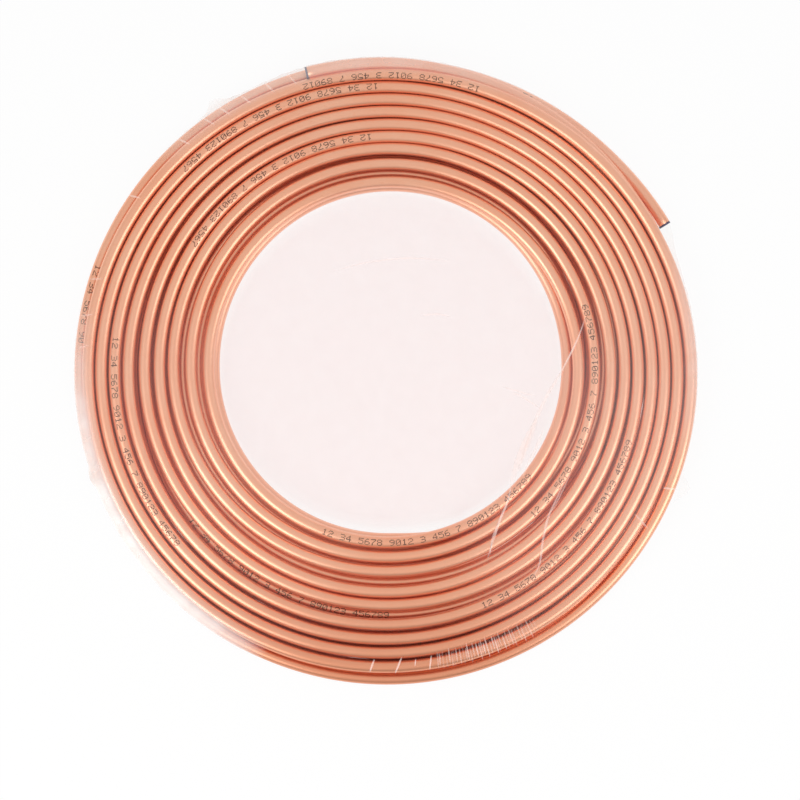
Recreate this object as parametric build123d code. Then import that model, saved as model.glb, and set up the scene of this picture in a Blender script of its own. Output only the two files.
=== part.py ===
"""A 25 m coil of soft copper tube in two layers, shrink-wrapped in clear film.

Millimetres. X and Y lie in the plane of the coil and Z points up. The origin is under the
coil's centre, on the surface that the wrapped coil lies on. Angles run counter-clockwise
from X, seen from above.
"""

from build123d import *
import math
import os

# Tube
tube_diameter = 10.0
tube_wall = 0.7

# Turns, from the outermost one to the bore
outer_turn_radius = 252.0
turn_gaps = (0.4, 0.7, 0.8, 1.3, 2.0, 1.9, 2.3, 3.7, 2.4)
layer_gap = 0.4
layer_seat = 0.5
crest_flat = 4.0
section_sides = 8

# Free ends: where each stops, over what angle before that it leaves the round, and how
# far its centre line has sprung out by then
lower_end_angle = 28.0
lower_end_sweep = 62.0
lower_end_spring = 6.0
upper_end_angle = 105.0
upper_end_sweep = 20.0
upper_end_spring = 1.0

# The tube is fully round over this sweep behind a free end. It is the outermost turn of its
# layer over its run and then closes in on the next turn. The lower one goes nearly all the
# way round and stops short of its own free end by the gap
round_sweep = 10.0
closing_sweep = 45.0
end_gap_sweep = 13.0
lower_end_run = 360.0 - end_gap_sweep - closing_sweep
upper_end_run = 120.0

# End plugs
open_bore_sweep = 6.0
plug_clearance = 0.2
plug_flange = 1.6
plug_flange_chamfer = 0.4
plug_room = 6.0
plug_stem_length = 8.0
plug_wall = 1.2

# Film
film_thickness = 0.3
film_clearance = 0.5

bore_diameter = tube_diameter - 2 * tube_wall
coil_bottom = film_thickness + film_clearance
lower_level = coil_bottom + tube_diameter / 2
upper_level = lower_level + tube_diameter + layer_gap
coil_top = upper_level + tube_diameter / 2


def turn_radii():
    """Centre-line radii of the full turns inside the outermost one."""
    radii = []
    radius = outer_turn_radius
    for gap in turn_gaps:
        radius = radius - tube_diameter - gap
        radii.append(radius)
    return radii


def at(radius, angle, level=0.0):
    """A point of the coil's own polar grid."""
    turn = math.radians(angle)
    return Vector(radius * math.cos(turn), radius * math.sin(turn), level)


def drifting_arc(start, end, touch, drift, level, widen=0.0):
    """An arc that touches the outermost turn's circle at one angle and, a quarter turn on,
    lies the drift outside it. Widen moves the whole arc out along its own radius."""
    radius = outer_turn_radius + drift + widen
    centre = at(-drift, touch, level)
    points = [centre + at(radius, angle) for angle in (start, (start + end) / 2, end)]
    return ThreePointArc(*points)


class FreeEnd:
    """A free end of the tube and the outermost turn behind it. Sense is 1 where the tube
    runs counter-clockwise from its end and -1 where it runs clockwise."""

    def __init__(self, angle, sweep, spring, run, sense, level):
        self.angle = angle
        self.run = run
        self.sense = sense
        self.level = level
        self.landing = angle + sense * sweep
        self.drift = spring / (1 - math.cos(math.radians(sweep)))

    def sprung_arc(self, start, end, widen=0.0):
        """The centre line, or a line parallel to it, where the end springs off the round."""
        return drifting_arc(start, end, self.landing, self.drift, self.level, widen)

    def end_path(self, sweep):
        """Centre line of the stretch of tube just behind the end."""
        return Wire([self.sprung_arc(self.angle, self.angle + self.sense * sweep)])

    def turn_path(self):
        """Centre line of the rest of the outermost turn, up to where it closes in."""
        start = self.angle + self.sense * round_sweep
        close = self.angle + self.sense * self.run
        stop = close + self.sense * closing_sweep
        pitch = tube_diameter + turn_gaps[0]
        return Wire(
            [
                self.sprung_arc(start, self.landing),
                drifting_arc(self.landing, close, self.landing, 0.0, self.level),
                drifting_arc(close, stop, close, -pitch, self.level),
            ]
        )

    def face(self):
        """The plane of the tube's end, looking into the tube."""
        path = self.end_path(round_sweep)
        return Plane(origin=path @ 0, z_dir=path % 0)


def swept_section(path, section):
    """A solid of the given section along a path in the plane of the coil. The section's
    own Y stays upright."""
    along = path % 0
    start = Plane(origin=path @ 0, x_dir=along.cross(Vector(0, 0, 1)), z_dir=along)
    return sweep(start * section, path=path)


def outer_turn(end):
    """An outermost turn: round tube behind its free end, then a plain eight-sided bar as
    wide across its flats as the tube."""
    flat_sided = RegularPolygon(tube_diameter / 2, section_sides, major_radius=False)
    flat_topped = Rot(0, 0, 180 / section_sides) * flat_sided
    laid = swept_section(end.turn_path(), flat_topped)
    return laid + swept_section(end.end_path(round_sweep), Circle(tube_diameter / 2))


def open_bore(end):
    """The hollow of the tube at a free end."""
    return swept_section(end.end_path(open_bore_sweep), Circle(bore_diameter / 2))


def room_for_plug(end):
    """The clear space before a free end, where its plug goes in."""
    return end.face() * extrude(Circle(tube_diameter / 2 + plug_clearance), -plug_room)


def crest_line(level, side):
    """One face of the wound turns, from the outer edge to the bore: a flat crest for each
    turn and, between two turns, a groove down to the tube's centre line. Side is 1 for the
    upper face and -1 for the lower one."""
    crest = level + side * tube_diameter / 2
    points = []
    for radius, gap in zip(turn_radii(), turn_gaps):
        points.append((radius + (tube_diameter + gap) / 2, level))
        points.append((radius + crest_flat / 2, crest))
        points.append((radius - crest_flat / 2, crest))
    points.append((turn_radii()[-1] - tube_diameter / 2, level))
    return points


def wound_turns():
    """The full turns of both layers, turned as one ring with its bore. At the outside a
    ledge fills the space under the upper layer's outermost turn, which is seated in it."""
    upper_face = crest_line(upper_level, 1)
    lower_face = crest_line(lower_level, -1)
    ledge_top = upper_level - tube_diameter / 2 + layer_seat
    ledge = [
        (outer_turn_radius, lower_level),
        (outer_turn_radius, ledge_top),
        (upper_face[0][0], ledge_top),
    ]
    profile = make_face(Polyline(*ledge, *upper_face, *lower_face[::-1], close=True))
    return revolve(Plane.XZ * profile, axis=Axis.Z)


def copper_tube_coil(ends):
    """The whole tube: the wound turns, both outermost turns and the hollow free ends."""
    coil = wound_turns()
    for end in ends:
        coil -= room_for_plug(end)
        coil += outer_turn(end)
        coil -= open_bore(end)
    return coil


def end_plug(end):
    """A hollow plastic plug whose stem sits in the tube and whose flange covers its end."""
    stem_diameter = bore_diameter - 2 * plug_clearance
    flange = extrude(Circle(tube_diameter / 2), -plug_flange)
    flange = chamfer(flange.faces().sort_by(Axis.Z)[0].edges(), plug_flange_chamfer)
    stem = extrude(Circle(stem_diameter / 2), plug_stem_length)
    hollow = extrude(Circle(stem_diameter / 2 - plug_wall), plug_stem_length)
    return end.face() * (flange + stem - hollow)


def film_outline(ends, margin):
    """Plan of the taut film: a hull round the coil and its sprung ends. The margin lies
    between the copper and the outline."""
    reach = tube_diameter / 2 + margin
    flange_sweep = math.degrees((plug_flange + margin) / outer_turn_radius)
    lines = [Circle(outer_turn_radius + reach).edge()]
    for end in ends:
        tip = end.angle - end.sense * flange_sweep
        lines.append(Pos(0, 0, -end.level) * end.sprung_arc(tip, end.landing, reach))
    return make_hull(lines)


def film_body(ends, margin):
    """A flat round body that lies the margin outside the copper on every side, with its
    rims chamfered like the eight-sided outermost turns."""
    height = coil_top - coil_bottom + 2 * margin
    body = Pos(0, 0, coil_bottom - margin) * extrude(film_outline(ends, margin), height)
    faces = body.faces().sort_by(Axis.Z)
    rims = faces[0].edges() + faces[-1].edges()
    return chamfer(rims, (tube_diameter / 2 + margin) * (2 - math.sqrt(2)))


def film_wrap(ends):
    """The closed film bag, taut over both faces, the rim and the bore."""
    outside = film_body(ends, film_clearance + film_thickness)
    return outside - film_body(ends, film_clearance)


lower_end = FreeEnd(
    lower_end_angle, lower_end_sweep, lower_end_spring, lower_end_run, 1, lower_level
)
upper_end = FreeEnd(
    upper_end_angle, upper_end_sweep, upper_end_spring, upper_end_run, -1, upper_level
)
both_ends = (lower_end, upper_end)
parts = {
    "copper_tube_coil": copper_tube_coil(both_ends),
    "end_plug_upper": end_plug(upper_end),
    "end_plug_lower": end_plug(lower_end),
    "film_wrap": film_wrap(both_ends),
}

os.makedirs("parts", exist_ok=True)
for name, part in parts.items():
    export_step(part, f"parts/{name}.step")
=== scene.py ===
"""Looks of the copper tube coil: the wound tube, its two end plugs, the ink marking, the
shrink film and its folds.

The scene is in metres. Sizes in this file are in millimetres, but for those that a comment
gives in metres. X and Y lie in the plane of the coil and Z points up. Angles run
counter-clockwise from X, seen from above.
"""

import bpy
import math
import numpy as np
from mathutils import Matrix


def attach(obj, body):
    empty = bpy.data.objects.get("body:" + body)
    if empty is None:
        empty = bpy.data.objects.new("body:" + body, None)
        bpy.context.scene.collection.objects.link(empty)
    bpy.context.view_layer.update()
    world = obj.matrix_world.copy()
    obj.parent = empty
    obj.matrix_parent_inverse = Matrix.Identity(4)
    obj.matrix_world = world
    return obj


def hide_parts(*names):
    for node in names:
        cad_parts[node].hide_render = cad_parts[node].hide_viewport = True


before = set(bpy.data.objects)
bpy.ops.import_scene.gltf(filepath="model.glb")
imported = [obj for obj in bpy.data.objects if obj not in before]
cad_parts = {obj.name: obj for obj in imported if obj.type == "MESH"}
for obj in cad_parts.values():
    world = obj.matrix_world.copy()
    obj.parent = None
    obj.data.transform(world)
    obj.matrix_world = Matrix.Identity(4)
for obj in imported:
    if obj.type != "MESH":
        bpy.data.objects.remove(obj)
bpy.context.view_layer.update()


# Tube. One length of soft copper tube, 10 by 0.7 mm, wound inwards in the upper layer and
# back outwards in the lower one. It is given by the distance of its middle from the coil's
# axis and by its height, at angles that run on from turn to turn.

in_metres = 0.001
tube_radius = 5.0
bore_radius = 4.3
tube_sides = 16
tube_rings = 4852
sharp_edge = math.radians(50)
lower_level = 5.8
layer_step = 10.4
first_angle = 28.0
last_angle = 7305.0
lower_layer_start = 3600.0

# Distances of the turns from the axis at four sides of the coil, from the outside in for the
# upper layer, whose rows follow the grooves seen between the turns, and from the bore out for
# the lower one, which is hidden and fills the gaps of the upper one.
upper_right = (248.7, 237.7, 227.0, 216.4, 205.3, 194.3, 182.8, 169.7, 156.6)
upper_top = (252.1, 242.8, 232.8, 222.7, 212.7, 202.7, 192.7, 182.6, 170.1, 155.7)
upper_left = (252.9, 245.5, 234.8, 223.8, 212.3, 199.2, 186.9, 175.4, 161.1, 146.7)
upper_bottom = (253.3, 242.6, 231.1, 219.7, 207.8, 191.8, 181.1, 164.3, 152.5, 140.6)
lower_right = tuple(148.0 + 9.97 * np.arange(11))
lower_top = tuple(153.5 + 9.83 * np.arange(10))
lower_left = (143.3, 156.0, 168.8, 179.6, 190.3, 200.6, 210.6, 222.3, 232.5, 242.7)
lower_bottom = (138.4, 149.5, 161.0, 174.0, 186.0, 200.6, 211.3, 222.8, 232.7, 242.6)

sides_of_turns = (
    (360.0, upper_right),
    (75.0, upper_top),
    (180.0, upper_left),
    (270.0, upper_bottom),
    (lower_layer_start, lower_right),
    (lower_layer_start + 75.0, lower_top),
    (lower_layer_start + 180.0, lower_left),
    (lower_layer_start + 270.0, lower_bottom),
)
distance_keys = {28.0: 258.0, 45.0: 254.1, 60.0: 252.6, 3915.0: 150.0, 3940.0: 156.0}
for first, distances in sides_of_turns:
    for number, distance in enumerate(distances):
        distance_keys[first + 360.0 * number] = distance
distance_keys.update({4620.0: 164.4, 4635.0: 167.9, 4980.0: 176.4, 4995.0: 177.9})
distance_keys.update({4265.0: 156.0, 4270.0: 157.2, 4275.0: 157.9, 5010.0: 181.5})
distance_keys.update({5370.0: 192.3, 5625.0: 202.1, 5730.0: 203.9, 5745.0: 205.0})
distance_keys.update({5755.0: 207.25, 5995.0: 212.3, 6110.0: 216.7, 6350.0: 222.0})
distance_keys.update({3890.0: 143.2, 3975.0: 159.6, 5020.0: 184.3, 5210.0: 190.8})
distance_keys.update({5380.0: 194.3, 6365.0: 222.4, 6730.0: 232.3})
distance_keys.update({7228.0: 247.0, 7245.0: 247.6, 7260.0: 248.6, 7275.0: 250.2})
distance_keys.update({7290.0: 252.0, 7305.0: 253.0})

# Height over the lower level. The outermost upper turn is lifted where the other end of the
# tube climbs out under it.
height_keys = {28.0: 0.0, 290.0: 0.0, 350.0: layer_step, 388.0: 11.4, 405.0: 13.6, 420.0: 14.2}
height_keys.update({435.0: 14.1, 450.0: 12.2, 465.0: 10.7, 480.0: layer_step})
height_keys.update({lower_layer_start - 60.0: layer_step})
height_keys.update({3625.0: 0.0, 7200.0: 0.0, 7215.0: 0.3, 7228.0: 2.2, 7245.0: 5.8})
height_keys.update({7260.0: 7.6, 7275.0: 9.0, 7290.0: 10.1, last_angle: layer_step})


def through(table, wanted):
    """A smooth line through the table's values that never overshoots them: a cubic between
    two keys, whose slope at a key is the harmonic mean of the slopes on both sides, or
    nothing where the line turns back."""
    keys = np.array(sorted(table))
    values = np.array([table[key] for key in keys])
    wanted = np.asarray(wanted, float)
    widths = np.diff(keys)
    slopes = np.diff(values) / widths
    before = slopes[:-1]
    after = slopes[1:]
    onward = before * after > 0
    mean = np.where(onward, 2 * before * after / np.where(onward, before + after, 1.0), 0.0)
    tilts = np.concatenate([slopes[:1], mean, slopes[-1:]])
    cell = np.clip(np.searchsorted(keys, wanted, side="right") - 1, 0, len(keys) - 2)
    width = widths[cell]
    part = np.clip((wanted - keys[cell]) / width, 0.0, 1.0)
    rest = 1.0 - part
    ends = values[cell] * rest**2 * (1 + 2 * part) + values[cell + 1] * part**2 * (1 + 2 * rest)
    bends = tilts[cell] * part * rest**2 - tilts[cell + 1] * part**2 * rest
    return ends + bends * width


def tube_line(angles):
    """The tube's middle: its distance from the axis turned by the angle, and its height."""
    turn = np.radians(angles)
    distance = through(distance_keys, angles)
    height = lower_level + through(height_keys, angles)
    return np.stack([distance * np.cos(turn), distance * np.sin(turn), height], axis=-1)


def directions_along(line):
    """At each point of a line: ahead along it, level to its right, and square to both."""
    ahead = np.gradient(line, axis=0)
    ahead /= np.linalg.norm(ahead, axis=1, keepdims=True)
    right = np.cross(ahead, (0.0, 0.0, 1.0))
    right /= np.linalg.norm(right, axis=1, keepdims=True)
    return ahead, right, np.cross(right, ahead)


def rings_round(middles, right, up, radii, count):
    """One ring of points for each middle: the radius times the cosine to the right and the
    sine upwards."""
    around = np.arange(count) * 2 * math.pi / count
    level = np.cos(around)[None, :, None] * right[:, None, :]
    upright = np.sin(around)[None, :, None] * up[:, None, :]
    return middles[:, None, :] + np.asarray(radii)[:, None, None] * (level + upright)


def ringed_mesh(name, rings, run):
    """A closed surface of rings in a row, each joined to the next by four-sided faces, with
    a fan to a middle point at both ends. The run is each ring's distance along the piece.
    The UV map holds metres along and metres around."""
    count, around = rings.shape[:2]
    points = rings.reshape(-1, 3)
    poles = [rings[0].mean(axis=0), rings[-1].mean(axis=0)]
    ring = np.arange(count - 1)[:, None] * around
    here = np.arange(around)[None, :]
    there = (here + 1) % around
    corners = (ring + here, ring + around + here, ring + around + there, ring + there)
    quads = np.stack(corners, axis=-1).reshape(-1, 4)
    here = here[0]
    there = there[0]
    last = (count - 1) * around
    first_pole = len(points)
    first_fan = np.stack([np.full(around, first_pole), here, there], axis=-1)
    last_fan = np.stack([np.full(around, first_pole + 1), last + there, last + here], axis=-1)
    faces = quads.tolist() + first_fan.tolist() + last_fan.tolist()
    mesh = bpy.data.meshes.new(name)
    mesh.from_pydata((np.vstack([points, poles]) * in_metres).tolist(), [], faces)

    steps = np.linalg.norm(np.roll(rings, -1, axis=1) - rings, axis=2)
    girth = np.concatenate([np.zeros((count, 1)), np.cumsum(steps, axis=1)], axis=1)
    along = np.repeat(np.asarray(run, float)[:, None], around + 1, axis=1)
    grid = np.stack([along, girth], axis=-1) * in_metres
    quad_uv = np.stack([grid[:-1, :-1], grid[1:, :-1], grid[1:, 1:], grid[:-1, 1:]], axis=2)
    first_uv = np.stack([grid[0, :-1] * (1, 0), grid[0, :-1], grid[0, 1:]], axis=1)
    last_uv = np.stack([grid[-1, :-1] * (1, 0), grid[-1, 1:], grid[-1, :-1]], axis=1)
    uv = np.concatenate([quad_uv.reshape(-1, 2), first_uv.reshape(-1, 2), last_uv.reshape(-1, 2)])
    mesh.uv_layers.new(name="run").data.foreach_set("uv", uv.ravel())
    mesh.polygons.foreach_set("use_smooth", np.ones(len(faces), bool))
    mesh.update()
    return mesh


def place_node(tree, kind, sockets=(), **settings):
    """Adds a node. Each socket gets a plain value, or the output that feeds it."""
    new = tree.nodes.new(kind)
    for setting, value in settings.items():
        setattr(new, setting, value)
    for socket, value in dict(sockets).items():
        if isinstance(value, bpy.types.NodeSocket):
            tree.links.new(value, new.inputs[socket])
        else:
            new.inputs[socket].default_value = value
    return new


def mixed_colour(tree, factor, first, second):
    """A colour between two, by a factor."""
    sockets = {0: factor, 6: first, 7: second}
    return place_node(tree, "ShaderNodeMix", sockets, data_type="RGBA").outputs[2]


def ranged(tree, value, low, high, from_low=0.0, from_high=1.0):
    """A value carried from one range to another, and held inside it."""
    sockets = {0: value, 1: from_low, 2: from_high, 3: low, 4: high}
    return place_node(tree, "ShaderNodeMapRange", sockets).outputs[0]


def finished_piece(name, mesh, material, stands_for=()):
    """Puts a mesh into the scene as a piece of the coil."""
    piece = bpy.data.objects.new(name, mesh)
    bpy.context.scene.collection.objects.link(piece)
    mesh.materials.append(material)
    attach(piece, "root")
    if stands_for:
        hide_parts(*stands_for)
    return piece


copper = bpy.data.materials.new("drawn_copper")
copper.use_nodes = True
tree = copper.node_tree
metal = tree.nodes["Principled BSDF"]
along_tube = place_node(tree, "ShaderNodeUVMap", uv_map="run").outputs[0]
streak_place = place_node(tree, "ShaderNodeMapping", {0: along_tube, 3: (9.0, 1500.0, 1.0)})
streaks = place_node(tree, "ShaderNodeTexNoise", {0: streak_place.outputs[0], 2: 1.0, 3: 3.0})
in_space = place_node(tree, "ShaderNodeTexCoord").outputs["Object"]
clouds = place_node(tree, "ShaderNodeTexNoise", {0: in_space, 2: 22.0, 3: 2.0})
specks = place_node(tree, "ShaderNodeTexNoise", {0: in_space, 2: 420.0, 3: 2.0})
cloudy = ranged(tree, clouds.outputs[0], 0.0, 1.0, 0.35, 0.65)
streaky = ranged(tree, streaks.outputs[0], 0.0, 1.0, 0.3, 0.7)
speckled = ranged(tree, specks.outputs[0], 0.0, 1.0, 0.56, 0.72)
bright_copper = (0.99, 0.535, 0.36, 1.0)
deep_copper = (0.985, 0.49, 0.315, 1.0)
dull_copper = (0.97, 0.41, 0.245, 1.0)
# The next colour is painted shade, used at the front of the coil below.
painted_shade_copper = (0.80, 0.30, 0.16, 1.0)
clean = mixed_colour(tree, cloudy, bright_copper, deep_copper)
drawn = mixed_colour(tree, ranged(tree, streaky, 0.0, 0.22), clean, dull_copper)
speckly = mixed_colour(tree, ranged(tree, speckled, 0.0, 0.35), drawn, dull_copper)

# Painted shade: the front of the coil is painted darker and redder, standing in for the weaker
# light that falls there. Between two places along Y, in metres, the colour goes three quarters of
# the way to a shaded red.
painted_shade_share = 0.75
painted_shade_full_at = -0.26
painted_shade_begins_at = -0.155
place_across = place_node(tree, "ShaderNodeSeparateXYZ", {0: in_space}).outputs
to_painted_shade = ranged(tree, place_across[1], painted_shade_share, 0.0, painted_shade_full_at, painted_shade_begins_at)
painted_shade_colour = mixed_colour(tree, to_painted_shade, speckly, painted_shade_copper)
tree.links.new(painted_shade_colour, metal.inputs["Base Color"])
metal.inputs["Metallic"].default_value = 0.88
tree.links.new(ranged(tree, streaky, 0.30, 0.40), metal.inputs["Roughness"])
drawing_marks = {"Strength": 0.05, "Distance": 0.0002, "Height": streaks.outputs[0]}
tree.links.new(place_node(tree, "ShaderNodeBump", drawing_marks).outputs[0], metal.inputs["Normal"])

# The open ends are cut square: the rings start inside the bore, come to the mouth, and turn
# over the softened cut edge onto the outside.
hollow_depth = 10.0
cut_softness = 0.15
angles = np.linspace(first_angle, last_angle, tube_rings)
middle = tube_line(angles)
ahead, right, up = directions_along(middle)
outside = rings_round(middle, right, up, np.full(tube_rings, tube_radius), tube_sides)
length = np.concatenate([[0.0], np.cumsum(np.linalg.norm(np.diff(middle, axis=0), axis=1))])
cut_depths = np.array([hollow_depth, 0.0, 0.0])
cut_radii = (bore_radius, bore_radius, tube_radius - cut_softness)


def cut_end(index, inward):
    """Rings of the hollow at one end, from inside the bore out to the cut edge."""
    places = middle[index] + cut_depths[:, None] * inward
    rights = np.repeat(right[index][None], len(cut_radii), axis=0)
    ups = np.repeat(up[index][None], len(cut_radii), axis=0)
    return rings_round(places, rights, ups, cut_radii, tube_sides)


outside[0] += cut_softness * ahead[0]
outside[-1] -= cut_softness * ahead[-1]
start_rings = cut_end(0, ahead[0])
end_rings = cut_end(-1, -ahead[-1])[::-1]
tube_mesh = ringed_mesh(
    "wound_tube",
    np.concatenate([start_rings, outside, end_rings]),
    np.concatenate([cut_depths, length, length[-1] - cut_depths[::-1]]),
)
tube_mesh.set_sharp_from_angle(angle=sharp_edge)
finished_piece("wound_tube", tube_mesh, copper, ["copper_tube_coil"])


# End plugs. A dark blue moulded plastic plug closes each open end: a thin flange with a
# shallow dish in its face, and a hollow stem pushed into the tube.

# The plug's section, from the middle of its face round to the middle of its hollow: how deep
# each point lies in the tube and how far from the tube's middle.
plug_sides = 48
plug_outline = (
    (-1.1, 0.05),
    (-1.1, 2.6),
    (-1.5, 3.0),
    (-1.6, 3.3),
    (-1.6, 4.7),
    (-1.5, 4.95),
    (-1.25, 5.1),
    (-0.4, 5.1),
    (-0.12, 5.02),
    (0.0, 4.8),
    (0.02, 4.15),
    (7.6, 4.1),
    (8.0, 3.8),
    (8.0, 2.9),
    (0.6, 2.9),
    (0.6, 0.05),
)

plastic = bpy.data.materials.new("moulded_plug_plastic")
plastic.use_nodes = True
tree = plastic.node_tree
moulded = tree.nodes["Principled BSDF"]
in_space = place_node(tree, "ShaderNodeTexCoord").outputs["Object"]
grain = place_node(tree, "ShaderNodeTexNoise", {0: in_space, 2: 1800.0, 3: 2.0})
blotches = place_node(tree, "ShaderNodeTexNoise", {0: in_space, 2: 260.0, 3: 2.0})
navy = mixed_colour(tree, blotches.outputs[0], (0.022, 0.018, 0.085, 1.0), (0.05, 0.04, 0.15, 1.0))
tree.links.new(navy, moulded.inputs["Base Color"])
tree.links.new(ranged(tree, grain.outputs[0], 0.32, 0.55), moulded.inputs["Roughness"])
orange_peel = {"Strength": 0.15, "Distance": 0.0001, "Height": grain.outputs[0]}
tree.links.new(place_node(tree, "ShaderNodeBump", orange_peel).outputs[0], moulded.inputs["Normal"])

for name, index, inward in (
    ("end_plug_lower", 0, ahead[0]),
    ("end_plug_upper", -1, -ahead[-1]),
):
    outline = np.array(plug_outline)
    count = len(outline)
    to_right = np.cross(inward, (0.0, 0.0, 1.0))
    to_right /= np.linalg.norm(to_right)
    rights = np.repeat(to_right[None], count, axis=0)
    ups = np.repeat(np.cross(to_right, inward)[None], count, axis=0)
    places = middle[index] + outline[:, :1] * inward
    plug_rings = rings_round(places, rights, ups, outline[:, 1], plug_sides)
    steps = np.linalg.norm(np.diff(outline, axis=0), axis=1)
    plug_mesh = ringed_mesh(name + "_looks", plug_rings, np.concatenate([[0.0], np.cumsum(steps)]))
    plug_mesh.set_sharp_from_angle(angle=sharp_edge)
    finished_piece(name + "_looks", plug_mesh, plastic, [name])


# Ink marking. Rows of plain running digits sprayed on the tube as small dots, with their
# tops towards the coil's middle. Each dot is a thin six-sided patch of ink that lies on the
# tube's surface.

digit_dots = {
    "0": ("01110", "10001", "10011", "10101", "11001", "10001", "01110"),
    "1": ("00100", "01100", "00100", "00100", "00100", "00100", "01110"),
    "2": ("01110", "10001", "00001", "00110", "01000", "10000", "11111"),
    "3": ("11110", "00001", "00001", "01110", "00001", "00001", "11110"),
    "4": ("00010", "00110", "01010", "10010", "11111", "00010", "00010"),
    "5": ("11111", "10000", "11110", "00001", "00001", "10001", "01110"),
    "6": ("00110", "01000", "10000", "11110", "10001", "10001", "01110"),
    "7": ("11111", "00001", "00010", "00100", "01000", "01000", "01000"),
    "8": ("01110", "10001", "10001", "01110", "10001", "10001", "01110"),
    "9": ("01110", "10001", "10001", "01111", "00001", "00010", "01100"),
}
running_digits = "12 34 5678 9012 3 456 7 890123 4567890123"
digit_pitch = 5.1
dot_columns_apart = 0.85
dot_rows_apart = 0.74
dot_radius = 0.47
dot_corners = 6
ink_thickness = 0.03
middle_row = 3

# Each mark: the angles it runs between, and how far it sits inwards of the tube's crest.
marks = (
    (432.0, 467.0, 1.6),
    (812.0, 856.0, 0.0),
    (1253.0, 1301.0, 0.0),
    (1732.0, 1785.0, 0.0),
    (2254.0, 2309.0, 0.0),
    (2835.0, 2899.0, 0.0),
    (3488.0, 3566.0, 0.0),
    (5617.0, 5672.0, 0.0),
    (62.0, 92.0, 0.0),
    (160.0, 176.0, 0.0),
)


def dots_of(first, last, inwards):
    """The dots of one mark: for each lit dot of each digit, its distance along the tube and
    across it, counted from the crest towards the coil's middle."""
    begin = np.interp(first, angles, length)
    room = np.interp(last, angles, length) - begin
    text = running_digits[: int(room / digit_pitch)]
    alongs = []
    acrosses = []
    for number, digit in enumerate(text):
        if digit == " ":
            continue
        lit = np.array([[int(dot) for dot in row] for row in digit_dots[digit]])
        rows, columns = np.nonzero(lit)
        alongs.append(begin + number * digit_pitch + columns * dot_columns_apart)
        acrosses.append((middle_row - rows) * dot_rows_apart + inwards)
    return np.concatenate(alongs), np.concatenate(acrosses)


mark_dots = [dots_of(*mark) for mark in marks]
dot_along = np.concatenate([along for along, across in mark_dots])
dot_across = np.concatenate([across for along, across in mark_dots])
corner_turns = np.arange(dot_corners) * 2 * math.pi / dot_corners
corner_along = dot_along[:, None] + dot_radius * np.cos(corner_turns)
corner_across = dot_across[:, None] + dot_radius * np.sin(corner_turns)


def at_length(values, where):
    """Values along the tube, at given distances along it."""
    return np.stack([np.interp(where, length, values[:, axis]) for axis in range(3)], axis=-1)


lean = math.pi / 2 + corner_across / tube_radius
ink_points = at_length(middle, corner_along) + (tube_radius + ink_thickness) * (
    np.cos(lean)[..., None] * at_length(right, corner_along)
    + np.sin(lean)[..., None] * at_length(up, corner_along)
)
ink_mesh = bpy.data.meshes.new("ink_digits")
ink_faces = np.arange(len(dot_along) * dot_corners).reshape(-1, dot_corners)
ink_mesh.from_pydata((ink_points.reshape(-1, 3) * in_metres).tolist(), [], ink_faces.tolist())
ink_mesh.update()

ink = bpy.data.materials.new("sprayed_ink")
ink.use_nodes = True
tree = ink.node_tree
sprayed = tree.nodes["Principled BSDF"]
in_space = place_node(tree, "ShaderNodeTexCoord").outputs["Object"]
wear = place_node(tree, "ShaderNodeTexNoise", {0: in_space, 2: 160.0, 3: 3.0})
worn = ranged(tree, wear.outputs[0], 0.0, 1.0, 0.35, 0.65)
tree.links.new(
    mixed_colour(tree, worn, (0.06, 0.022, 0.016, 1.0), (0.17, 0.07, 0.05, 1.0)),
    sprayed.inputs["Base Color"],
)
tree.links.new(ranged(tree, worn, 0.92, 0.6), sprayed.inputs["Alpha"])
sprayed.inputs["Roughness"].default_value = 0.6
finished_piece("ink_digits", ink_mesh, ink)


# Shrink film. One closed bag of clear film, shrunk taut over both faces and the rim. In
# plan it follows the outermost turn and stands off where a free end or a gathered corner
# holds it out; it spans the bore above and below.

film_gap = 0.5
slack_under = 0.3
columns = 720
film_turn = np.arange(columns) * 360.0 / columns
points_per_millimetre = 1.22

# How far the film's edge stands from the coil's middle round the coil, in picture points.
film_edge = {
    0.0: 311.0, 14.0: 311.2, 20.0: 311.8, 24.0: 315.0, 26.8: 319.0, 30.0: 319.4, 35.0: 316.2,
    40.0: 314.6, 50.0: 313.4, 60.0: 312.6, 90.0: 312.4, 99.0: 311.6, 104.0: 314.6,
    108.0: 314.8, 116.0: 313.6, 120.0: 315.5, 123.0: 323.5, 125.5: 315.0, 132.0: 312.2,
    150.0: 311.5, 170.0: 312.0, 185.0: 312.5, 196.0: 313.0, 200.0: 317.5, 203.0: 313.4,
    215.0: 312.5, 230.0: 311.6, 250.0: 311.0, 280.0: 311.2, 300.0: 311.6, 320.0: 312.0,
    334.0: 312.6, 338.5: 325.0, 341.5: 313.4, 350.0: 311.6, 360.0: 311.0,
}
# The height at which it stands out there, and how round its edge is.
film_edge_height = {0.0: 10.0, 24.0: 6.0, 60.0: 6.2, 85.0: 10.0, 100.0: 16.0, 115.0: 15.0}
film_edge_height.update({135.0: 11.0, 360.0: 10.0})
film_edge_round = {0.0: 5.5, 118.0: 5.5, 123.0: 0.7, 127.0: 5.5, 196.0: 5.5, 200.0: 1.6}
film_edge_round.update({204.0: 5.5, 333.0: 5.5, 338.5: 0.6, 343.0: 5.5, 360.0: 5.5})

# Every pass of the tube under each angle. One that ends less than a column away counts too.
most_passes = 21
nearly = 0.4
passes = film_turn[:, None] + 360.0 * np.arange(most_passes)[None, :]
laid = (passes >= first_angle - nearly) & (passes <= last_angle + nearly)
pass_distance = through(distance_keys, np.clip(passes, first_angle, last_angle))
pass_height = lower_level + through(height_keys, np.clip(passes, first_angle, last_angle))

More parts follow.
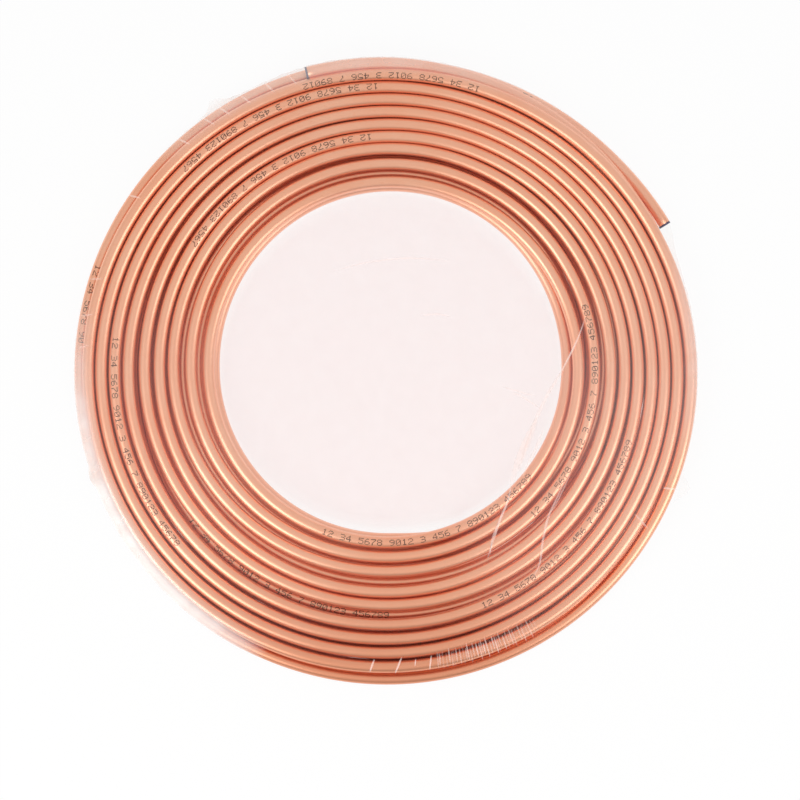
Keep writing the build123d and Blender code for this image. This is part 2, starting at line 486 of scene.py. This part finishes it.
# The film's section at each angle is a taut skin round the tubes: in every direction it
# reaches as far as the farthest tube plus the gap, and a little more underneath.
facing = np.radians(np.linspace(90.0, -90.0, 61))
outward = np.cos(facing)
upward = np.sin(facing)
skin = tube_radius + film_gap + slack_under * np.clip(-upward, 0.0, 1.0)
reach = pass_distance[:, :, None] * outward + pass_height[:, :, None] * upward
reach = np.where(laid[:, :, None], reach, -np.inf).max(axis=1) + skin
shifts = range(-3, 4)
widest = np.max([np.roll(reach, shift, axis=0) for shift in shifts], axis=0)
reach = np.mean([np.roll(widest, shift, axis=0) for shift in shifts], axis=0)
edge_round = through(film_edge_round, film_turn)[:, None]
edge_distance = (through(film_edge, film_turn) / points_per_millimetre)[:, None] - edge_round
edge_height = through(film_edge_height, film_turn)[:, None]
reach = np.maximum(reach, edge_distance * outward + edge_height * upward + edge_round)
lean = np.gradient(reach, facing, axis=1)
rim_distance = reach * outward - lean * upward
rim_height = reach * upward + lean * outward

# Small pleats stand out of the rim, deep where the film was gathered.
pleat_depth = {0.0: 0.15, 20.0: 0.5, 45.0: 0.2, 90.0: 0.2, 108.0: 0.7, 130.0: 0.6, 150.0: 0.2}
pleat_depth.update({190.0: 0.25, 215.0: 0.15, 240.0: 0.15, 270.0: 0.5, 283.0: 0.8, 300.0: 0.8})
pleat_depth.update({320.0: 0.4, 330.0: 0.8, 342.0: 0.6, 360.0: 0.15})
turn = np.radians(film_turn)
pleats = (0.5 + 0.5 * np.sin(113 * turn + 3.0 * np.sin(9 * turn) + 2.0 * np.cos(23 * turn))) ** 3
pleats *= through(pleat_depth, film_turn)
rim_distance += pleats[:, None] * outward**2

# Over the wound face it lies level, tilted up to the outermost turn where that one is
# lifted by the end that climbs out under it. Over the bore it sags and ripples a little.
face_level = lower_level + layer_step + tube_radius + film_gap
bore_sag = 1.3
tilt_width = 60.0
bore_edge = {0.0: 146.0, 75.0: 150.0, 180.0: 141.0, 270.0: 133.0, 315.0: 140.0, 360.0: 146.0}
bore_reach = through(bore_edge, film_turn)
lift = np.clip(rim_height[:, 0] - face_level, 0.0, None)


def film_ripples(x, y):
    """Slow waves that run mostly across the picture, with finer ones on top."""
    slow = np.sin(0.045 * y + 0.6 * np.sin(0.021 * x)) * np.sin(0.012 * x + 0.8)
    fine = np.sin(0.16 * y + 0.03 * x + 1.7 * np.sin(0.017 * x)) * np.sin(0.028 * x + 0.019 * y)
    return 0.5 * slow + 0.22 * fine


def face_height(x, y):
    """Height of the upper sheet at a place: its level over the turns plus the tilt near a
    lifted turn, and over the bore its sag and ripples."""
    distance = np.hypot(x, y)
    angle = np.degrees(np.arctan2(y, x)) % 360.0
    edge = np.interp(angle, film_turn, bore_reach, period=360.0)
    raised = np.interp(angle, film_turn, lift, period=360.0)
    rim = np.interp(angle, film_turn, rim_distance[:, 0], period=360.0)
    tilt = raised * np.clip(1.0 - (rim - distance) / tilt_width, 0.0, 1.0)
    inside = np.clip(1.0 - distance / edge, 0.0, 1.0)
    loose = 1.0 - (1.0 - inside) ** 2
    ripples = film_ripples(x, y) * np.clip(4 * inside, 0.0, 1.0)
    return face_level + tilt - bore_sag * loose + ripples


def sheet_rows(shares, ends, starts):
    """Rows of places between two closed lines, at the given shares of the way."""
    distance = starts[None, :] + (ends - starts)[None, :] * shares[:, None]
    return distance * np.cos(turn), distance * np.sin(turn)


middle_line = np.full(columns, 2.0)
top_rows = [sheet_rows(np.linspace(0.0, 1.0, 20)[:-1], bore_reach, middle_line)]
top_rows.append(sheet_rows(np.linspace(0.0, 1.0, 22)[:-1], rim_distance[:, 0], bore_reach))
top_x = np.concatenate([rows[0] for rows in top_rows])
top_y = np.concatenate([rows[1] for rows in top_rows])
top = np.stack([top_x, top_y, face_height(top_x, top_y)], axis=-1)
rim_x = rim_distance.T * np.cos(turn)
rim_y = rim_distance.T * np.sin(turn)
rim = np.stack([rim_x, rim_y, rim_height.T], axis=-1)
under_x, under_y = sheet_rows(np.linspace(0.0, 1.0, 20)[1:], middle_line, rim_distance[:, -1])
under = np.stack([under_x, under_y, np.zeros_like(under_x)], axis=-1)
film_rings = np.concatenate([top, rim, under])
film_run = np.cumsum(
    np.concatenate([[0.0], np.linalg.norm(np.diff(film_rings, axis=0), axis=2).mean(axis=1)])
)
film_mesh = ringed_mesh("shrink_film", film_rings, film_run)

# How milky the film looks. At the rim it is gathered and doubled, more at some angles; over the
# turns a thin veil lies towards the left and the right, partly the film's haze and partly a painted
# highlight that whitens the copper there; and over the bore a pink tint is painted in as a
# reflection of the copper's light. A value below nothing takes away from what shows edge on.
rim_milk = {0.0: 0.36, 10.0: 0.34, 30.0: 0.04, 50.0: 0.1, 80.0: 0.3, 90.0: 0.32, 110.0: 0.28}
rim_milk.update({120.0: 0.3, 130.0: 0.16, 150.0: -0.15, 165.0: 0.0, 180.0: 0.4, 190.0: 0.66})
rim_milk.update({215.0: 0.88, 230.0: 0.8, 240.0: 0.46, 250.0: -0.12, 280.0: -0.2, 290.0: -0.15})
rim_milk.update({300.0: 0.0, 320.0: -0.06, 330.0: -0.04, 345.0: 0.08, 360.0: 0.36})
face_haze_and_sheen = {0.0: 0.09, 30.0: 0.02, 60.0: 0.005, 90.0: 0.0, 150.0: 0.0, 180.0: 0.05}
face_haze_and_sheen.update({210.0: 0.05, 240.0: 0.02, 270.0: 0.0, 285.0: 0.0, 300.0: 0.035})
face_haze_and_sheen.update({330.0: 0.08, 350.0: 0.1, 360.0: 0.09})
bore_milk = 0.17


def add_milk(mesh, values):
    """Stores how milky the film is at each point of a mesh."""
    mesh.attributes.new("milk", "FLOAT", "POINT").data.foreach_set("value", values)


ring_distance = np.hypot(film_rings[..., 0], film_rings[..., 1])


def eased(values, low, high):
    """Nothing up to the low value and one from the high value on, with a soft start and end."""
    share = np.clip((values - low) / (high - low), 0.0, 1.0)
    return share * share * (3 - 2 * share)


toward_rim = eased(ring_distance, 241.0, 252.0) * (1 - 0.7 * eased(ring_distance, 258.0, 262.0))
past_bore = eased(ring_distance - bore_reach, -6.0, 4.0)
streaks_out = 0.96 + 0.04 * np.sin(61 * turn + 2 * np.sin(17 * turn))
film_milk = toward_rim * (through(rim_milk, film_turn) * streaks_out)[None, :]
film_milk += past_bore * (1 - toward_rim) * through(face_haze_and_sheen, film_turn)[None, :]
film_milk += (1 - past_bore) * bore_milk
# Over the bore the film carries a painted reflection of the copper's light.
painted_bounce_share = np.concatenate([(1 - past_bore).ravel(), [1.0, 1.0]])
add_milk(film_mesh, np.concatenate([film_milk.ravel(), [bore_milk, bore_milk]]))
film_mesh.attributes.new("painted_bounce", "FLOAT", "POINT").data.foreach_set("value", painted_bounce_share)


# The crinkles of the film, used by every sheet of it. They make its milkiness and whiteness uneven
# and its skin a little rough and wavy, and where the painted-bounce value is set they turn the
# colour towards a painted reflection of the copper's light.
# Painted reflection: the pink that the copper's light would throw onto the film over the bore.
painted_copper_bounce = (0.86, 0.53, 0.51, 1.0)
crinkles = bpy.data.node_groups.new("film_crinkles", "ShaderNodeTree")
for socket, kind in (("Milk", "Float"), ("PaintedBounce", "Float"), ("Thin", "Color"), ("Thick", "Color")):
    crinkles.interface.new_socket(socket, in_out="INPUT", socket_type="NodeSocket" + kind)
for socket, kind in (
    ("Cloudiness", "Float"),
    ("Tint", "Color"),
    ("Roughness", "Float"),
    ("Height", "Float"),
):
    crinkles.interface.new_socket(socket, in_out="OUTPUT", socket_type="NodeSocket" + kind)
given = place_node(crinkles, "NodeGroupInput").outputs
in_space = place_node(crinkles, "ShaderNodeTexCoord").outputs["Object"]
crinkle = place_node(crinkles, "ShaderNodeTexNoise", {0: in_space, 2: 55.0, 3: 4.0}).outputs[0]
mottled = ranged(crinkles, crinkle, 0.93, 1.07, 0.3, 0.7)
sockets = {0: given["Milk"], 1: mottled}
clouded = place_node(crinkles, "ShaderNodeMath", sockets, operation="MULTIPLY").outputs[0]
thickness = ranged(crinkles, crinkle, 0.0, 1.0, 0.3, 0.7)
white_film = mixed_colour(crinkles, thickness, given["Thin"], given["Thick"])
tint = mixed_colour(crinkles, given["PaintedBounce"], white_film, painted_copper_bounce)
roughness = ranged(crinkles, crinkle, 0.08, 0.2)
put_out = {"Cloudiness": clouded, "Tint": tint, "Roughness": roughness, "Height": crinkle}
place_node(crinkles, "NodeGroupOutput", put_out)


def film_material(name, clear_alpha, edge_alpha, milk_colours, painted_glow, light_bend):
    """Clear film: mostly see-through, milky by the stored value and denser where it is seen edge
    on. A painted glow, an emission in the milk's colour, stands in for light that comes through
    from below and adds to the milky parts. The bend of the light is the film's index of refraction."""
    film = bpy.data.materials.new(name)
    film.use_nodes = True
    tree = film.node_tree
    skin = tree.nodes["Principled BSDF"]
    milk = place_node(tree, "ShaderNodeAttribute", attribute_name="milk").outputs["Fac"]
    painted_bounce = place_node(tree, "ShaderNodeAttribute", attribute_name="painted_bounce").outputs["Fac"]
    values = {"Milk": milk, "PaintedBounce": painted_bounce, "Thin": milk_colours[0], "Thick": milk_colours[1]}
    crinkled = place_node(tree, "ShaderNodeGroup", values, node_tree=crinkles).outputs
    grazing = place_node(tree, "ShaderNodeLayerWeight", {0: 0.25}).outputs["Facing"]
    edge_on = ranged(tree, grazing, clear_alpha, edge_alpha, 0.35, 1.0)
    sockets = {0: crinkled["Cloudiness"], 1: edge_on}
    total = place_node(tree, "ShaderNodeMath", sockets, operation="ADD", use_clamp=True)
    tree.links.new(total.outputs[0], skin.inputs["Alpha"])
    tree.links.new(crinkled["Tint"], skin.inputs["Base Color"])
    tree.links.new(crinkled["Roughness"], skin.inputs["Roughness"])
    ripple = {"Strength": 0.15, "Distance": 0.0004, "Height": crinkled["Height"]}
    tree.links.new(place_node(tree, "ShaderNodeBump", ripple).outputs[0], skin.inputs["Normal"])
    skin.inputs["IOR"].default_value = light_bend
    # Painted glow: the emission stands in for light coming through the film from below.
    skin.inputs["Emission Color"].default_value = milk_colours[0]
    skin.inputs["Emission Strength"].default_value = painted_glow
    return film


single_colours = ((1.0, 0.95, 0.91, 1.0), (1.0, 0.97, 0.95, 1.0))
clear_film = film_material("clear_shrink_film", 0.005, 0.18, single_colours, 0.1, 2.2)
finished_piece("shrink_film", film_mesh, clear_film, ["film_wrap"])


# Folds. Where the film was drawn together it lies doubled in long creases and short radial pleats,
# each a thin flattened ridge on the upper sheet that runs out to nothing. Their milky, pinkish
# colour is partly the doubled film and partly a painted glint, and they give off a faint painted
# glow.

camera_place = (10.2, -23.8, 2016.2)
picture_width = 655.7
picture_size = 800
middle_across = 387.5
middle_down = 371.0
lens_distance = 2000.0


def from_picture(across, down):
    """The place on the upper sheet that shows at a picture point: the camera's own place
    plus the point's distance from the picture's middle, times the size of a point there."""
    step = picture_width / picture_size * (camera_place[2] - face_level) / lens_distance
    x = camera_place[0] + (np.asarray(across, float) - picture_size / 2) * step
    y = camera_place[1] - (np.asarray(down, float) - picture_size / 2) * step
    return x, y


def radial_crease(angle, near, far, bend=0.0):
    """Picture points of a short crease that runs outwards from the coil's middle, turned by
    the bend on its way."""
    distance = np.linspace(near, far, 3)
    turned = np.radians(angle + bend * np.linspace(0.0, 1.0, 3))
    across = middle_across + distance * np.cos(turned)
    return list(zip(across, middle_down - distance * np.sin(turned)))


# Each crease: its width in millimetres, its milkiness, which is partly painted glint, and the
# picture points on its way.
creases = [
    (1.8, 0.34, [(586, 316), (578, 338), (571, 353), (560, 374), (548, 396)]),
    (3.0, 0.22, [(562, 370), (552, 386), (543, 404), (534, 424), (526, 446), (518, 470)]),
    (7.5, 0.22, [(538, 416), (530, 434), (524, 448), (517, 466), (510, 488)]),
    (3.0, 0.2, [(543, 430), (536, 448), (530, 460), (522, 478)]),
    (2.2, 0.28, [(512, 482), (508, 500), (500, 520), (494, 538), (487, 560)]),
    (1.4, 0.2, [(498, 522), (492, 540), (490, 556)]),
    (2.2, 0.22, [(566, 478), (556, 500), (548, 518), (543, 540), (540, 562), (532, 580)]),
    (1.4, 0.16, [(572, 470), (562, 492), (552, 512)]),
    (1.2, 0.3, [(512, 392), (524, 398), (541, 409)]),
    (1.4, 0.2, [(420, 316), (436, 314), (452, 317)]),
    (1.6, 0.2, [(330, 272), (370, 262), (410, 258), (452, 261)]),
    (1.4, 0.18, [(500, 386), (520, 392), (536, 396)]),
    (1.8, 0.25, radial_crease(145, 301, 313, 0.8)),
    (2.0, 0.3, radial_crease(337, 299, 313, 0.8)),
    (1.8, 0.2, radial_crease(330, 285, 305, -1.2)),
    (1.8, 0.36, radial_crease(267.4, 288, 302, -0.8)),
    (1.8, 0.36, radial_crease(272.9, 286, 303, -1.5)),
    (1.2, 0.3, radial_crease(275.6, 289, 297, -0.3)),
    (1.5, 0.36, radial_crease(278.8, 287, 302, -0.8)),
]
# A comb of close pleats, strongest in its middle, and two rows of wider ones.
comb_pleats = 37
comb_start = 280.0
comb_step = 0.56
for number in range(comb_pleats):
    angle = comb_start + comb_step * number + 0.14 * math.sin(5.1 * number)
    strength = 0.12 + 0.08 * math.sin(1.9 * number) + 0.1 * math.exp(-(((number - 17) / 6) ** 2))
    near = 285.0 + 2.5 * math.sin(2.7 * number)
    far = 302.0 + 2.5 * math.sin(4.3 * number)
    creases.append((1.5, strength, radial_crease(angle, near, far, -0.25)))
for angle in (162.0, 169.0, 175.0, 192.0, 198.0, 204.0, 209.0, 216.0):
    creases.append((1.8, 0.14, radial_crease(angle, 299, 312, 0.9)))
for angle in (107.5, 112.0, 117.0, 121.5, 125.0, 131.0):
    creases.append((1.8, 0.2, radial_crease(angle, 300, 314, 1.2)))

# Each ridge is flat and lens-shaped, fades out towards both of its sides and both ends, and
# lies on the upper sheet.
ridge_sides = 8
ridge_height = 0.25
ridge_clearance = 0.12
around = np.arange(ridge_sides) * 2 * math.pi / ridge_sides
fold_points = []
fold_faces = []
fold_milk = []
laid_points = 0
for width, milk, picture_points in creases:
    spots = np.array(picture_points, float)
    keys = np.arange(len(spots), dtype=float)
    steps = np.linspace(0.0, keys[-1], 8 * (len(spots) - 1) + 1)
    across = through(dict(zip(keys, spots[:, 0])), steps)
    down = through(dict(zip(keys, spots[:, 1])), steps)
    x, y = from_picture(across, down)
    ridge = np.stack([x, y, face_height(x, y) + ridge_clearance], axis=-1)
    fold_right, fold_up = directions_along(ridge)[1:]
    share = steps / keys[-1]
    taper = np.sqrt(np.clip(4 * share * (1 - share), 0.0, 1.0)) + 0.02
    level = (width / 2 * taper)[:, None] * np.cos(around)
    upright = (ridge_height * taper)[:, None] * np.sin(around)
    rings = ridge[:, None] + level[..., None] * fold_right[:, None]
    rings = rings + upright[..., None] * fold_up[:, None]
    count = len(rings)
    ring = laid_points + np.arange(count - 1)[:, None] * ridge_sides
    here = np.arange(ridge_sides)[None, :]
    there = (here + 1) % ridge_sides
    corners = (ring + here, ring + ridge_sides + here, ring + ridge_sides + there, ring + there)
    fold_faces += np.stack(corners, axis=-1).reshape(-1, 4).tolist()
    last = laid_points + (count - 1) * ridge_sides
    fold_faces.append((laid_points + here[0][::-1]).tolist())
    fold_faces.append((last + here[0]).tolist())
    fold_points.append(rings.reshape(-1, 3))
    fold_milk.append((milk * taper[:, None] * np.abs(np.sin(around)) ** 0.8).ravel())
    laid_points += count * ridge_sides

fold_mesh = bpy.data.meshes.new("film_folds")
fold_mesh.from_pydata((np.vstack(fold_points) * in_metres).tolist(), [], fold_faces)
fold_mesh.polygons.foreach_set("use_smooth", np.ones(len(fold_faces), bool))
fold_mesh.update()
add_milk(fold_mesh, np.concatenate(fold_milk))
# Milky colours of the doubled film that also carry a painted glint.
doubled_and_glint_colours = ((1.0, 0.80, 0.73, 1.0), (1.0, 0.88, 0.84, 1.0))
doubled_film_and_glint = film_material("doubled_film_and_glint", 0.0, 0.0, doubled_and_glint_colours, 0.15, 1.5)
finished_piece("film_folds", fold_mesh, doubled_film_and_glint)


# Setting, in metres: a floor that shows as plain white with a faint shadow, two large soft
# lamps at the front left and front right, and a pale sky, brighter overhead and behind.

floor_reach = 4.0
floor_level = -0.0003
floor_mesh = bpy.data.meshes.new("floor")
floor_corners = [
    (-floor_reach, -floor_reach, floor_level),
    (floor_reach, -floor_reach, floor_level),
    (floor_reach, floor_reach, floor_level),
    (-floor_reach, floor_reach, floor_level),
]
floor_mesh.from_pydata(floor_corners, [], [(0, 1, 2, 3)])
floor = bpy.data.objects.new("floor", floor_mesh)
bpy.context.scene.collection.objects.link(floor)
paper = bpy.data.materials.new("white_paper")
paper.use_nodes = True
tree = paper.node_tree
matt = tree.nodes["Principled BSDF"]
matt.inputs["Base Color"].default_value = (0.92, 0.91, 0.91, 1.0)
matt.inputs["Roughness"].default_value = 0.9
ray = place_node(tree, "ShaderNodeLightPath").outputs
sockets = {0: ray["Is Camera Ray"], 1: ray["Is Glossy Ray"]}
seen = place_node(tree, "ShaderNodeMath", sockets, operation="MAXIMUM").outputs[0]
sockets = {0: seen, 1: ray["Is Transmission Ray"]}
seen = place_node(tree, "ShaderNodeMath", sockets, operation="MAXIMUM").outputs[0]
white_share = ranged(tree, seen, 0.0, 0.92)
white = place_node(tree, "ShaderNodeEmission", {0: (1.0, 1.0, 1.0, 1.0), 1: 1.0})
blend = place_node(
    tree, "ShaderNodeMixShader", {0: white_share, 1: matt.outputs[0], 2: white.outputs[0]}
)
tree.links.new(blend.outputs[0], tree.nodes["Material Output"].inputs[0])
floor_mesh.materials.append(paper)

lamp_width = 1.1
lamp_distance = 1.5
raised = math.radians(38.0)
for name, azimuth, watts in (("lamp_left", 222.0, 7.9), ("lamp_right", 325.0, 6.0)):
    lamp_data = bpy.data.lights.new(name, "AREA")
    lamp_data.shape = "DISK"
    lamp_data.size = lamp_width
    lamp_data.energy = watts
    lamp = bpy.data.objects.new(name, lamp_data)
    bpy.context.scene.collection.objects.link(lamp)
    turned = math.radians(azimuth)
    lamp.location = (
        lamp_distance * math.cos(raised) * math.cos(turned),
        lamp_distance * math.cos(raised) * math.sin(turned),
        lamp_distance * math.sin(raised),
    )
    lamp.rotation_euler = (math.pi / 2 - raised, 0.0, turned + math.pi / 2)

world = bpy.data.worlds.new("pale_sky")
world.use_nodes = True
bpy.context.scene.world = world
tree = world.node_tree
looking = place_node(tree, "ShaderNodeTexCoord").outputs["Generated"]
axes = place_node(tree, "ShaderNodeSeparateXYZ", {0: looking}).outputs
slope = place_node(tree, "ShaderNodeMath", {0: axes[1], 1: axes[2]}, operation="ADD")
sky = ranged(tree, slope.outputs[0], 0.31, 0.76, -0.7, 1.0)
tree.links.new(sky, tree.nodes["Background"].inputs["Strength"])
tree.nodes["Background"].inputs["Color"].default_value = (1.0, 0.99, 0.98, 1.0)

sensor_width = 36.0
camera_data = bpy.data.cameras.new("camera")
camera_data.sensor_width = sensor_width
camera_data.lens = sensor_width * lens_distance / picture_width
camera_data.clip_start = 0.01
camera_data.clip_end = 50.0
camera = bpy.data.objects.new("camera", camera_data)
camera.location = [value * in_metres for value in camera_place]
bpy.context.scene.collection.objects.link(camera)
bpy.context.scene.camera = camera
bpy.context.scene.view_settings.view_transform = "Standard"
# Light in the grooves is thrown from turn to turn many times, which makes them redder.
bpy.context.scene.cycles.glossy_bounces = 12
